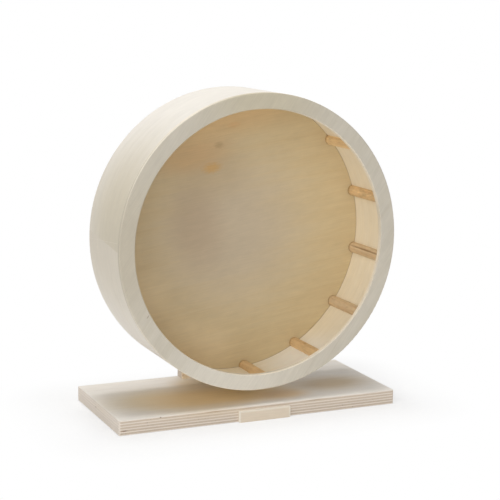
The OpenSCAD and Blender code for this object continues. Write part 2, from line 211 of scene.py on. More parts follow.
class WheelDrumSettings(bpy.types.PropertyGroup):
    """Plywood of the drum's ring, bent strip and disc."""

    band: colour_prop("Band", "Birch veneer inside the bent strip", "#FBF0D8")
    band_streak: colour_prop("Band streak", "Streaks round the bent strip", "#F6E9CD")
    band_back: colour_prop("Band back", "Paler veneer outside the bent strip", "#EFE9DF")
    ring: colour_prop("Ring", "Birch veneer of the front ring", "#D4CCBC")
    ring_streak: colour_prop("Ring streak", "Streaks across the front ring", "#CDC4B1")
    disc: colour_prop("Disc", "Warmer veneer of the back disc", "#DCC89F")
    disc_middle: colour_prop("Disc middle", "Greyer middle of the back disc", "#C9B9A0")
    disc_streak: colour_prop("Disc streak", "Streaks across the back disc", "#D5BE92")
    # Sanded ring edges, painted paler as a highlight where the eased edges catch bounce light
    ring_edge_and_highlight: colour_prop("Ring edge", "Paler sanded edge of the front ring", "#FBF1DF")
    edge: colour_prop("Edge", "Sanded ply edge", "#F0DEC4")
    end: colour_prop("End grain", "Sanded ply edge where the fibres end", "#E6CFAF")
    ring_ply: size_prop("Ring ply", "Thickness of one ply of the ring", 1.25)
    disc_ply: size_prop("Disc ply", "Thickness of one ply of the disc", 15 / 11)
    strip: size_prop("Strip", "Thickness of the bent strip", 3.0)
    strip_ply: size_prop("Strip ply", "Thickness of one ply of the bent strip", 1.0)
    glue: size_prop("Glue", "Width of the glue in the strip's slit", 0.28)
    glue_low: size_prop("Glue low", "Depth of the glue below the drum's surface", 0.06)
    seam_angle: bpy.props.FloatProperty(
        name="Seam", description="Angle of the strip's slit, anticlockwise from the right",
        subtype="ANGLE", default=math.radians(178.5))
    seam_lean: bpy.props.FloatProperty(
        name="Seam lean", description="Lean of the slit from the axle's direction",
        subtype="ANGLE", default=math.radians(5.5))


class WheelRungSettings(bpy.types.PropertyGroup):
    """Half-round mouldings across the tread."""

    light: colour_prop("Light", "Planed beech, pale pieces", "#FCDDAA")
    warm: colour_prop("Warm", "Planed beech, warm pieces", "#EACA9A")
    grey: colour_prop("Grey", "Planed beech, duller pieces", "#E2CAA6")
    ray: colour_prop("Ray", "Dark rays and pores", "#BC8A55")


class WheelAxleSettings(bpy.types.PropertyGroup):
    """Bolt and wood screws."""

    bolt_head: size_prop("Bolt head", "Height of the bolt's head", 5.3)
    bolt_radius: size_prop("Bolt radius", "Radius of the bolt over its thread", 3.97)
    bolt_chamfer: size_prop("Bolt chamfer", "Chamfer of the bolt's end", 0.8)
    foot_shank: size_prop("Foot screw", "Diameter of the foot screws over their thread", 4.0)
    hub_head: size_prop("Hub screw head", "Diameter of the hub screws' heads", 7.0)
    hub_shank: size_prop("Hub screw", "Diameter of the hub screws over their thread", 3.5)
    hub_circle: size_prop("Hub circle", "Diameter of the circle of hub screws", 42.0)


class WheelStageSettings(bpy.types.PropertyGroup):
    """White studio."""

    floor_size: bpy.props.FloatProperty(
        name="Floor", description="Side of the floor", unit="LENGTH", min=1, default=8.0)
    lamp_size: bpy.props.FloatProperty(
        name="Softbox", description="Side of the overhead softbox", unit="LENGTH", min=0.1,
        default=0.65)
    lamp_height: bpy.props.FloatProperty(
        name="Height", description="Height of the softbox above the floor", unit="LENGTH", min=0.5,
        default=2.47)
    lamp_power: bpy.props.FloatProperty(
        name="Power", description="Power of the softbox overhead", unit="POWER", min=0,
        default=26.8)
    front_size: bpy.props.FloatProperty(
        name="Front softbox", description="Side of the softbox in front, to the left",
        unit="LENGTH", min=0.1, default=2.7)
    front_power: bpy.props.FloatProperty(
        name="Front power", description="Power of the softbox in front, to the left",
        unit="POWER", min=0, default=42.5)
    fill: bpy.props.FloatProperty(
        name="Fill", description="Level of the light from all sides", min=0, max=1, default=0.32)


def connect(tree, node, inputs):
    """Sets or links a node's inputs, by name, or in order for those in use. A node given as an
    input stands for its first output in use."""
    if not isinstance(inputs, dict):
        used = [place for place, socket in enumerate(node.inputs) if socket.enabled]
        inputs = dict(zip(used, inputs))
    for name, value in inputs.items():
        if isinstance(value, bpy.types.Node):
            value = next(socket for socket in value.outputs if socket.enabled)
        if isinstance(value, bpy.types.NodeSocket):
            tree.links.new(value, node.inputs[name])
        else:
            node.inputs[name].default_value = value


def add(tree, kind, inputs=(), **settings):
    """Adds one node with its settings and links."""
    node = tree.nodes.new(kind)
    for name, value in settings.items():
        setattr(node, name, value)
    connect(tree, node, inputs)
    return node


def new_material(name):
    """A material with an empty node tree but for its Principled shader."""
    material = bpy.data.materials.new(name)
    material.use_nodes = True
    tree = material.node_tree
    tree.nodes.clear()
    shader = add(tree, "ShaderNodeBsdfPrincipled")
    add(tree, "ShaderNodeOutputMaterial", {"Surface": shader})
    return material, tree, shader


def finish_node(node, material):
    """Gives a carried-over node its material."""
    mesh = frame["nodes"][node].data
    mesh.materials.clear()
    mesh.materials.append(material)


def new_piece(name, mesh, material):
    """A piece from a bmesh, with its faces turned outwards."""
    bmesh.ops.recalc_face_normals(mesh, faces=mesh.faces)
    data = bpy.data.meshes.new(name)
    mesh.to_mesh(data)
    mesh.free()
    data.materials.append(material)
    piece = bpy.data.objects.new(name, data)
    bpy.context.scene.collection.objects.link(piece)
    return piece


def join_sections(mesh, sections):
    """Skin over closed sections with the same number of corners, capped at both ends."""
    for one, other in zip(sections, sections[1:]):
        for i in range(len(one)):
            j = (i + 1) % len(one)
            mesh.faces.new((one[i], one[j], other[j], other[i]))
    mesh.faces.new(sections[0])
    mesh.faces.new(sections[-1])


def turned_piece(name, parts, material):
    """A piece turned on a lathe, or several alike. Each part is its place, the angles of its
    corners and its sections: heights along local Z, each with a radius or a function that gives
    it for an angle. A radius of 0 closes an end."""
    mesh = bmesh.new()
    for place, angles, sections in parts:
        rings = []
        for height, radius in sections:
            if radius == 0:
                rings.append([mesh.verts.new(place @ Vector((0, 0, height)))])
                continue
            ring = []
            for angle in angles:
                reach = radius(angle) if callable(radius) else radius
                corner = Vector((reach * math.cos(angle), reach * math.sin(angle), height))
                ring.append(mesh.verts.new(place @ corner))
            rings.append(ring)
        for one, other in zip(rings, rings[1:]):
            for i in range(len(angles)):
                j = (i + 1) % len(angles)
                corners = [one[i % len(one)], one[j % len(one)],
                           other[j % len(other)], other[i % len(other)]]
                # At a closed end two of the corners are one
                mesh.faces.new(list(dict.fromkeys(corners)))
    piece = new_piece(name, mesh, material)
    piece.data.shade_smooth()
    # Chamfers and flats keep their edges
    piece.data.set_sharp_from_angle(angle=math.radians(32))
    return piece


def thread_at(height, pitch, outer, root, sharp):
    """Radius of a right-hand thread round the angles at one height. Sharp narrows its crest."""
    def radius(angle):
        phase = (height / pitch - angle / (2 * math.pi)) % 1
        tooth = 1 - abs(2 * phase - 1) * sharp
        # Crests are a little flat
        return root + (outer - root) * min(max(tooth * 1.15, 0), 1)
    return radius


def cross_at(half_width, half_length):
    """Radius of a cross's outline round the angles."""
    def radius(angle):
        turn = angle % (math.pi / 2)
        turn = min(turn, math.pi / 2 - turn)
        return min(half_length / math.cos(turn), half_width / max(math.sin(turn), 1e-6))
    return radius


def even_heights(start, end, step):
    """Heights from start to end, evenly spaced by about a step."""
    count = max(round(abs(end - start) / step), 1)
    return [start + (end - start) * i / count for i in range(count + 1)]


def wood_screw(place, head, shank, length):
    """Countersunk wood screw with a cross recess and a coarse thread. Its head is flat at the
    height 0. Recess, cone and thread are in the usual proportion to head and shank."""
    quarter, diagonal = math.pi / 2, math.pi / 4
    cone, bevel, pitch, core = 0.5 * (head - shank), 0.08 * MM, 0.45 * shank, 0.34 * shank
    recess_wide, recess_long = 0.085 * head, 0.27 * head
    # Corners at the ends of the cross's arms and in its notches, and between them
    bend = math.atan2(recess_wide, recess_long)
    arm = (0, bend / 2, bend, (bend + diagonal) / 2, diagonal,
           (quarter - bend + diagonal) / 2, quarter - bend, quarter - bend / 2)
    angles = [i * quarter + turn for i in range(4) for turn in arm]
    # Recess from its bottom up, flat face, rim, cone and the neck above the thread
    sections = [
        (-1.05 * cone, 0),
        (-0.85 * cone, cross_at(recess_wide * 0.45, 0.11 * head)),
        (0, cross_at(recess_wide, recess_long)),
        (0, head / 2 - bevel),
        (-bevel, head / 2 - bevel),
        (-cone, shank / 2),
        (-cone - 0.6 * MM, core),
    ]
    start, point, end = -cone - 0.22 * length, -length + 1.1 * shank, -length + 0.12 * shank
    for height in even_heights(start, end, pitch / 7):
        # The thread grows over its first turn and shrinks to the point
        grown = min((start - height) / pitch, 1.0)
        taper = 1.0 if height > point else (height + length) / (point + length)
        outer, root = shank / 2 * (0.25 + 0.75 * taper), core * (0.15 + 0.85 * taper)
        crest = root + (outer - root) * grown
        sections.append((height, thread_at(height, pitch, crest, root, sharp=2.2)))
    sections.append((-length, 0))
    return place, angles, sections


def hex_bolt(place, flats, head, shank, length, chamfer):
    """Hexagon bolt with a coarse rolled thread up to its chamfered head, which lies below the
    height 0. Flats is the width across them, and shank the radius over the thread."""
    pitch, depth = 1.25 * MM, 0.61 * MM
    angles = [math.pi / 24 * i for i in range(48)]
    corner = flats / math.sqrt(3)

    def hexagon(reach):
        """Radius of the hexagon round the angles, cut off at a reach."""
        def radius(angle):
            turn = (angle + math.pi / 6) % (math.pi / 3) - math.pi / 6
            return min(flats / 2 / math.cos(math.pi / 6 - abs(turn)), reach)
        return radius

    # Head from its flat top over the chamfered corners to the underside and the shank
    sections = [
        (-head, 0),
        (-head, 0.94 * flats / 2),
        (-head + 0.2 * MM, hexagon(0.99 * flats / 2)),
        (-head + 0.75 * MM, hexagon(corner)),
        (0, hexagon(corner)),
        (0, 0.86 * shank),
    ]
    for height in even_heights(0, length, pitch / 8):
        left = (length - height) / chamfer
        outer = shank if left > 1 else shank - (1 - left) * chamfer
        root = min(shank - depth, outer)
        crest = root + (outer - root) * min(height / pitch, 1.0)
        sections.append((height, thread_at(height, pitch, crest, root, sharp=1.0)))
    sections.append((length, 0))
    return place, angles, sections


def leaning(degrees):
    """Directions along and across a face grain that leans from level, seen from the front."""
    lean = math.radians(degrees)
    return (RIGHT * math.cos(lean) + UP * math.sin(lean),
            RIGHT * math.sin(lean) - UP * math.cos(lean))


def flat_panel(tree, along, across, face):
    """Millimetres along the face grain, across it and up from the lowest face of a flat panel,
    and how much a surface faces along and across. Face is a point on that lowest face."""
    spot = add(tree, SPOT).outputs
    placed = add(tree, VECTOR, (spot["Object"], face), operation="SUBTRACT")
    lengths = [add(tree, VECTOR, (placed, axis / MM), operation="DOT_PRODUCT")
               for axis in (along, across, along.cross(across))]
    facing = []
    for axis in (along, across):
        share = add(tree, VECTOR, (spot["Normal"], axis), operation="DOT_PRODUCT")
        facing.append(add(tree, MATH, (share,), operation="ABSOLUTE"))
    return lengths, facing


def bent_panel(tree, radius, seam_angle, seam_lean, middle):
    """The same for a strip bent round the axle: its grain runs round, from a seam that leans from
    the axle's direction and crosses the seam's angle at the strip's middle."""
    spot = add(tree, SPOT).outputs
    placed = add(tree, VECTOR, (spot["Object"], AXLE), operation="SUBTRACT")
    y = add(tree, SEPARATE, (placed,)).outputs["Y"]
    # The strip's own turn, 0 opposite its seam, so that the pattern breaks at the seam alone
    seam_x, seam_z = math.cos(seam_angle), math.sin(seam_angle)
    beside = add(tree, VECTOR, (placed, (seam_z, 0, -seam_x)), operation="DOT_PRODUCT")
    ahead = add(tree, VECTOR, (placed, (-seam_x, 0, -seam_z)), operation="DOT_PRODUCT")
    turn = add(tree, MATH, (beside, ahead), operation="ARCTAN2")
    behind = add(tree, MATH, (y, middle - AXLE.y), operation="SUBTRACT")
    turn = add(tree, MATH, (behind, math.tan(seam_lean) / radius, turn), operation="MULTIPLY_ADD")
    turn = add(tree, MATH, (turn, math.pi, -math.pi), operation="WRAP")
    level = add(tree, VECTOR, (placed, (1, 0, 1)), operation="MULTIPLY")
    reach = add(tree, VECTOR, (level,), operation="LENGTH")
    height = add(tree, MATH, (reach, radius), operation="SUBTRACT")
    lengths = [add(tree, MATH, (value, scale), operation="MULTIPLY")
               for value, scale in ((turn, radius / MM), (y, 1 / MM), (height, 1 / MM))]
    normal_y = add(tree, SEPARATE, (spot["Normal"],)).outputs["Y"]
    return lengths, [0.0, add(tree, MATH, (normal_y,), operation="ABSOLUTE")]


def marked(tree, colour, place, marks, fine, broad):
    """Colour with marks over it. Their edges are ragged: small marks by the fine noise, large
    ones by the broad."""
    for at, size, tint, strength in marks:
        scaled = [add(tree, MATH, (value, 2 / reach, -2 * centre / reach), operation="MULTIPLY_ADD")
                  for value, centre, reach in zip(place, at, size)]
        far = add(tree, VECTOR, (add(tree, COMBINE, scaled),), operation="LENGTH")
        ragged, depth = (fine, 0.8) if size[0] < SMALL_MARK else (broad, 0.3)
        ragged = add(tree, MATH, (ragged, 0.5), operation="SUBTRACT")
        far = add(tree, MATH, (ragged, depth, far), operation="MULTIPLY_ADD")
        # Full strength for the first fifth of the way out, and none just past the edge
        amount = add(tree, RANGE, (far, 0.2, 1.1, strength, 0.0), interpolation_type="SMOOTHSTEP")
        colour = add(tree, MIX, (amount, colour, tint), data_type="RGBA")
    return colour


def plywood(name, panel, thick, ply, colours, figure=1.0, back=None, marks=(), seed=0.0):
    """Sanded bare plywood: rotary-cut veneers with the grain crossed from ply to ply.

    The eye sees a soft silky face with broad faint streaks, and edges where pale plies, cut along
    their fibres, alternate with darker ones, cut across, and thin glue lines between them.
    Panel is flat_panel or bent_panel and what it takes, thick its thickness and ply that of one
    ply. Colours are of the face, its streaks, and plies cut along and across at the sides. Figure
    is how strong the face's pattern is, and back the colour of the last ply.
    """
    material, tree, shader = new_material(name)
    face, streak, long_ply, end_ply = [rgba(colour) for colour in colours]
    plies = round(thick / ply)
    measure, *where = panel
    lengths, (faces_along, faces_across) = measure(tree, *where)
    along, across, through = lengths

    # Plies vary a little in thickness over some 45 mm
    wave = add(tree, NOISE, {"Vector": add(tree, COMBINE, lengths), "Scale": 1 / 45, "Detail": 1.0})
    wave = add(tree, MATH, (wave, 0.5), operation="SUBTRACT")
    level = add(tree, MATH, (wave, 0.5, through), operation="MULTIPLY_ADD")
    layer = add(tree, MATH, (level, ply / MM), operation="DIVIDE")
    index = add(tree, MATH, (layer,), operation="FLOOR")
    index = add(tree, MATH, (index, 0.0), operation="MAXIMUM")
    index = add(tree, MATH, (index, plies - 1.0), operation="MINIMUM")
    crossed = add(tree, MATH, (index, 2.0), operation="MODULO")

    # Every second ply has its fibres turned
    fibre_along, fibre_across, cut_across = [
        add(tree, MIX, (crossed, straight, turned), data_type="FLOAT")
        for straight, turned in ((along, across), (across, along), (faces_along, faces_across))]
    end_grain = add(tree, RANGE, (cut_across, 0.35, 0.85), interpolation_type="SMOOTHSTEP")
    own = add(tree, MATH, (index, 31.7, seed), operation="MULTIPLY_ADD")

    def grain(length, width, detail, distortion=0.0):
        """Noise drawn out along the fibres, its grains about length by width millimetres."""
        spot = add(tree, COMBINE, (
            add(tree, MATH, (fibre_along, length), operation="DIVIDE"),
            add(tree, MATH, (fibre_across, width), operation="DIVIDE"),
            add(tree, MATH, (through, 0.5, own), operation="MULTIPLY_ADD")))
        return add(tree, NOISE, {"Vector": spot, "Scale": 1.0, "Detail": detail, "Roughness": 0.55,
                                 "Distortion": distortion})

    # Growth streaks some 7 mm wide
    streaks = grain(length=120.0, width=7.0, detail=4.0, distortion=0.8)
    # Fibres drawn 1.1 mm wide instead of 0.1 mm, so that they show
    fibres = grain(length=26.0, width=1.1, detail=2.0)
    # Broad and narrow clouds, as left by the log's uneven colour and by sanding
    mottle = grain(length=70.0, width=45.0, detail=1.0)
    clouds = grain(length=13.0, width=7.0, detail=2.0)
    # Knife checks and pores, some 3 mm long, drawn about as wide as a ply so that they show
    checks = grain(length=3.2, width=1.2, detail=1.0)

    amount = add(tree, RANGE, (streaks, 0.34, 0.72, 0.0, figure), interpolation_type="SMOOTHSTEP")
    colour = add(tree, MIX, (amount, face, streak), data_type="RGBA")
    if back is not None:
        last = add(tree, MATH, (index, plies - 1.5), operation="GREATER_THAN")
        colour = add(tree, MIX, (last, colour, rgba(back)), data_type="RGBA")

    # Sides of plies: long grain is pale, end grain darker, and both draw together where the whole
    # board was sawn across, because the saw burnishes them alike
    drawn = add(tree, MATH, (faces_along, -0.75, 1.0), operation="MULTIPLY_ADD")
    end_grain = add(tree, MATH, (end_grain, drawn), operation="MULTIPLY")
    side = add(tree, MATH, (faces_along, faces_across), operation="MAXIMUM")
    on_side = add(tree, RANGE, (side, 0.55, 0.95), interpolation_type="SMOOTHSTEP")
    edge = add(tree, MIX, (end_grain, long_ply, end_ply), data_type="RGBA")
    colour = add(tree, MIX, (on_side, colour, edge), data_type="RGBA")
    colour = marked(tree, colour, lengths, marks, checks, streaks)

    # Thin glue lines between the plies
    line = add(tree, MATH, (layer, 0.5), operation="ADD")
    line = add(tree, MATH, (line,), operation="FRACT")
    line = add(tree, MATH, (line, 0.5), operation="SUBTRACT")
    line = add(tree, MATH, (line,), operation="ABSOLUTE")
    line = add(tree, RANGE, (line, 0.04, 0.13, 1.0, 0.0))
    line = add(tree, MATH, (line, on_side), operation="MULTIPLY")
    line = add(tree, MATH, (line, 0.25), operation="MULTIPLY")

    # Dark dashes where checks and pores open at the sides
    dash = add(tree, RANGE, (checks, 0.68, 0.78), interpolation_type="SMOOTHSTEP")
    dash = add(tree, MATH, (dash, on_side), operation="MULTIPLY")
    dash = add(tree, MATH, (dash, add(tree, MATH, (end_grain, 0.45), operation="MULTIPLY")),
               operation="MULTIPLY")

    # All fine variations of tone come as one factor on the colour
    tone = 1.0
    for pattern, depth in ((fibres, 0.30), (mottle, 0.16), (clouds, 0.20)):
        drift = add(tree, MATH, (pattern, 0.5), operation="SUBTRACT")
        tone = add(tree, MATH, (drift, depth * figure, tone), operation="MULTIPLY_ADD")
    ply_tone = add(tree, "ShaderNodeTexWhiteNoise", {"W": own}, noise_dimensions="1D")
    shift = add(tree, MATH, (ply_tone, 0.5), operation="SUBTRACT")
    shift = add(tree, MATH, (shift, on_side), operation="MULTIPLY")
    tone = add(tree, MATH, (shift, 0.10, tone), operation="MULTIPLY_ADD")
    dark = add(tree, MATH, (line, dash), operation="MAXIMUM")
    kept = add(tree, MATH, (1.0, dark), operation="SUBTRACT")
    tone = add(tree, MATH, (tone, kept), operation="MULTIPLY")

    # End grain lies a little low between the plies with long grain
    relief = add(tree, MATH, (end_grain, -0.4, fibres), operation="MULTIPLY_ADD")
    connect(tree, shader, {
        "Base Color": add(tree, VECTOR, (colour, tone), operation="SCALE"),
        "Roughness": add(tree, RANGE, (fibres, 0.3, 0.7, 0.52, 0.66)),
        "IOR": WOOD_IOR,
        "Normal": add(tree, BUMP, {"Height": relief, "Strength": 0.5, "Distance": 0.06 * MM})})
    return material


def beech_moulding(name, tone, ray, seed, cloud=0.2, marks=()):
    """Planed solid beech: even tan wood with fine dark rays along its length, dull and bare.

    Cloud is how much the tone drifts over a few millimetres.
    """
    material, tree, shader = new_material(name)
    spot = add(tree, SPOT).outputs
    place = add(tree, VECTOR, (spot["Object"], (0, 0, AXLE.z)), operation="SUBTRACT")
    place = add(tree, VECTOR, (place, 1 / MM), operation="SCALE")

    def grain(length, width, detail):
        """Noise drawn out along the moulding, its grains about length by width millimetres."""
        drawn = add(tree, VECTOR, (place, (1 / width, 1 / length, 1 / width)), operation="MULTIPLY")
        moved = add(tree, VECTOR, (drawn, (seed, seed, seed)), operation="ADD")
        return add(tree, NOISE, {"Vector": moved, "Scale": 1.0, "Detail": detail})

    growth = grain(length=60.0, width=2.4, detail=3.0)
    # Rays of 0.3 x 3 mm are drawn 0.9 mm wide, so that they show
    rays = grain(length=5.0, width=0.9, detail=1.0)
    clouds = grain(length=11.0, width=3.5, detail=2.0)
    dark = [add(tree, MATH, (add(tree, RANGE, (pattern, low, 0.75)), share), operation="MULTIPLY")
            for pattern, low, share in ((growth, 0.4, 0.35), (rays, 0.6, 0.30))]
    dark = add(tree, MATH, dark, operation="ADD")
    colour = add(tree, MIX, (dark, rgba(tone), rgba(ray)), data_type="RGBA")
    drift = add(tree, MATH, (clouds, 0.5), operation="SUBTRACT")
    drift = add(tree, MATH, (drift, cloud * 2, 1.0), operation="MULTIPLY_ADD")
    colour = add(tree, VECTOR, (colour, drift), operation="SCALE")
    axes = add(tree, SEPARATE, (place,)).outputs
    connect(tree, shader, {
        "Base Color": marked(tree, colour, axes, marks, rays, growth),
        "Roughness": 0.55,
        "IOR": WOOD_IOR,
        "Normal": add(tree, BUMP, {"Height": rays, "Strength": 0.5, "Distance": 0.05 * MM})})
    return material


def dried_glue():
    """White wood glue dried in a joint and sanded with it: dull, yellowish and dusty."""
    material, tree, shader = new_material("dried_glue")
    spot = add(tree, SPOT).outputs
    dust = add(tree, NOISE, {"Vector": spot["Object"], "Scale": 1 / (1.2 * MM), "Detail": 2.0})
    tints = linear("#E9E1D2"), linear("#DDD2BE")
    connect(tree, shader, {
        "Base Color": add(tree, MIX, (dust, *tints), data_type="RGBA"),
        "Roughness": 0.5,
        "IOR": 1.47,
        "Normal": add(tree, BUMP, {"Height": dust, "Strength": 0.4, "Distance": 0.03 * MM})})
    return material


def metal(name, hex_colour, rough, grain, relief):
    """A metal whose roughness and relief, in millimetres, vary over grains of some millimetres."""
    material, tree, shader = new_material(name)
    spot = add(tree, SPOT).outputs
    uneven = add(tree, NOISE, {"Vector": spot["Object"], "Scale": 1 / (grain * MM), "Detail": 3.0})
    connect(tree, shader, {
        "Base Color": linear(hex_colour),
        "Metallic": 1.0,
        "Roughness": add(tree, RANGE, (uneven, 0.3, 0.7, *rough)),
        "Normal": add(tree, BUMP, {"Height": uneven, "Strength": 0.4, "Distance": relief * MM})})
    return material


def zinc_plated_steel():
    """Steel, barrel plated with zinc and passivated: a soft, slightly uneven bluish grey shine."""
    return metal("zinc_plated_steel", "#B9BEC4", rough=(0.28, 0.42), grain=1.6, relief=0.01)


def ground_bearing_steel():
    """Hardened bearing steel, ground: bright and nearly mirror smooth."""
    return metal("ground_bearing_steel", "#C9CBCD", rough=(0.14, 0.24), grain=0.8, relief=0.003)


def pressed_steel_sheet():
    """Cold-rolled sheet, pressed into shields and washers: satin with a fine tooth."""
    return metal("pressed_steel_sheet", "#B5B7B9", rough=(0.30, 0.45), grain=0.6, relief=0.008)


def moulded_nylon():
    """Natural nylon, injection moulded: milky white, waxy and slightly translucent."""
    material, tree, shader = new_material("moulded_nylon")
    spot = add(tree, SPOT).outputs
    cloud = add(tree, NOISE, {"Vector": spot["Object"], "Scale": 1 / (2.5 * MM)})
    tints = linear("#E9E8E0"), linear("#DEDCD2")
    connect(tree, shader, {
        "Base Color": add(tree, MIX, (cloud, *tints), data_type="RGBA"),
        "Roughness": 0.42,
        "IOR": 1.53,
        "Subsurface Weight": 0.2,
        "Subsurface Radius": (1.0 * MM, 1.0 * MM, 0.8 * MM)})
    return material


def place_camera(scene):
    """The photograph's viewpoint: from the front, left of the object and above it."""
    location = Vector((-0.5612, -1.2860, 0.4136))
    turn, tilt, roll = math.radians(24.09), math.radians(-10.33), math.radians(0.73)
    level = Vector((math.cos(turn), -math.sin(turn), 0))
    onward = Vector((math.sin(turn), math.cos(turn), 0))
    ahead = onward * math.cos(tilt) + UP * math.sin(tilt)
    above = level.cross(ahead)
    right = level * math.cos(roll) + above * math.sin(roll)
    up = above * math.cos(roll) - level * math.sin(roll)
    data = bpy.data.cameras.new("camera")
    data.sensor_width = 36.0
    data.lens = 102.55
    data.clip_start = 0.05
    data.clip_end = 50.0
    camera = bpy.data.objects.new("camera", data)
    axes = Matrix((right, up, -ahead)).transposed().to_4x4()
    camera.matrix_world = Matrix.Translation(location) @ axes
    scene.collection.objects.link(camera)
    scene.camera = camera


def seen_white(tree):
    """1 for rays that see the surroundings: from the camera, by a reflection or through glass."""
    path = add(tree, "ShaderNodeLightPath").outputs
    seen = path["Is Camera Ray"]
    for kind in ("Is Glossy Ray", "Is Transmission Ray"):
        seen = add(tree, MATH, (seen, path[kind]), operation="MAXIMUM")
    return seen


def white_floor(stage):
    """White studio floor: diffuse near the object, so that it keeps the shadow, and fading to
    plain white for the camera further out, so that floor and background are one."""
    # Share of plain white beside the base, and how far out from it all is plain white
    share_near, fade_length = 0.55, 90 * MM
    half = stage.floor_size / 2
    corners = [(-half, -half, 0), (half, -half, 0), (half, half, 0), (-half, half, 0)]
    mesh = bpy.data.meshes.new("floor")
    mesh.from_pydata(corners, [], [(0, 1, 2, 3)])
    floor = bpy.data.objects.new("floor", mesh)
    bpy.context.scene.collection.objects.link(floor)
    material = bpy.data.materials.new("white_floor")
    material.use_nodes = True
    tree = material.node_tree
    tree.nodes.clear()
    spot = add(tree, SPOT).outputs
    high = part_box("base_board")[1]
    past = add(tree, VECTOR, (spot["Object"],), operation="ABSOLUTE")
    past = add(tree, VECTOR, (past, (high.x, high.y, 0)), operation="SUBTRACT")
    past = add(tree, VECTOR, (past,), operation="MAXIMUM")
    far = add(tree, VECTOR, (past,), operation="LENGTH")
    fade = add(tree, RANGE, (far, 0.0, fade_length, share_near, 1.0),
               interpolation_type="SMOOTHSTEP")
    share = add(tree, MATH, (fade, seen_white(tree)), operation="MULTIPLY")
    paint = add(tree, "ShaderNodeBsdfDiffuse", {"Color": linear("#FBFBFB")})
    glow = add(tree, "ShaderNodeEmission", {"Color": linear("#FFFFFF"), "Strength": 1.0})
    mix = add(tree, "ShaderNodeMixShader", (share, paint, glow))
    add(tree, "ShaderNodeOutputMaterial", {"Surface": mix})
    mesh.materials.append(material)


def softbox(name, place, size, power):
    """One square softbox that faces the wheel."""
    data = bpy.data.lights.new(name, "AREA")
    data.shape = "SQUARE"
    data.size = size
    data.energy = power
    lamp = bpy.data.objects.new(name, data)
    lamp.location = place
    lamp.rotation_euler = (AXLE - Vector(place)).to_track_quat("-Z", "Y").to_euler()
    lamp.visible_camera = False
    lamp.visible_glossy = False
    bpy.context.scene.collection.objects.link(lamp)


def white_world(scene, stage):
    """White surroundings: plain white for camera and reflections, a weaker fill on the object."""
    world = bpy.data.worlds.new("studio")
    world.use_nodes = True
    tree = world.node_tree
    tree.nodes.clear()
    level = add(tree, RANGE, (seen_white(tree), 0.0, 1.0, stage.fill, 1.0))
    sky = add(tree, "ShaderNodeBackground", {"Color": linear("#FFFFFF"), "Strength": level})
    add(tree, "ShaderNodeOutputWorld", {"Surface": sky})
    scene.world = world


class WHEEL_OT_boards(bpy.types.Operator):
    """Finish the base board, the upright and the hub block in thick birch plywood"""

    bl_idname = "wheel.boards"
    bl_label = "Boards"

    def execute(self, context):
        wood = context.scene.wheel_boards
        colours = wood.face, wood.streak, wood.long_ply, wood.end_ply
        low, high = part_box("base_board")
        finish_node("base_board", plywood(
            "birch_board_base", (flat_panel, RIGHT, BACK, (0, 0, low.z)), high.z - low.z, wood.ply,
            colours, figure=0.45, marks=coloured(BASE_MARKS, wood), seed=3.0))
        low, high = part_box("upright")
        finish_node("upright", plywood(
            "birch_board_upright", (flat_panel, UP, RIGHT, (0, low.y, 0)), high.y - low.y, wood.ply,
            colours, figure=0.6, marks=coloured(UPRIGHT_MARKS, wood), seed=11.0))
        low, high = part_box("hub_block")
        finish_node("hub_block", plywood(
            "birch_board_hub", (flat_panel, UP, RIGHT, (0, low.y, 0)), high.y - low.y, wood.ply,
            colours, figure=0.6, seed=23.0))
        return {"FINISHED"}


class WHEEL_OT_label_plate(bpy.types.Operator):
    """Finish the small bare plate on the front edge"""

    bl_idname = "wheel.label_plate"
    bl_label = "Label Plate"

    def execute(self, context):
        wood = context.scene.wheel_boards
        low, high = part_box("label_plate")
        # Paler strips painted just inside the top, left and right edges of the face: painted
        # highlights of the eased edges
        inset = 0.6
        left, right, top = low.x / MM + inset, high.x / MM - inset, inset - high.z / MM
        painted_edge_highlights = (
            ((0, top, 0), (900, 2.4, 90), "label_edge_and_highlight", 0.7),
            ((left, 0, 0), (3.0, 900, 90), "label_edge_and_highlight", 0.8),
            ((right, 0, 0), (3.0, 900, 90), "label_edge_and_highlight", 0.8),
        )
        finish_node("label_plate", plywood(
            "birch_label", (flat_panel, RIGHT, -UP, (0, low.y, 0)), high.y - low.y, wood.label_ply,
            (wood.label, wood.label, wood.label_edge_and_highlight, wood.label_edge_and_highlight),
            figure=0.5, marks=coloured(painted_edge_highlights, wood), seed=31.0))
        return {"FINISHED"}


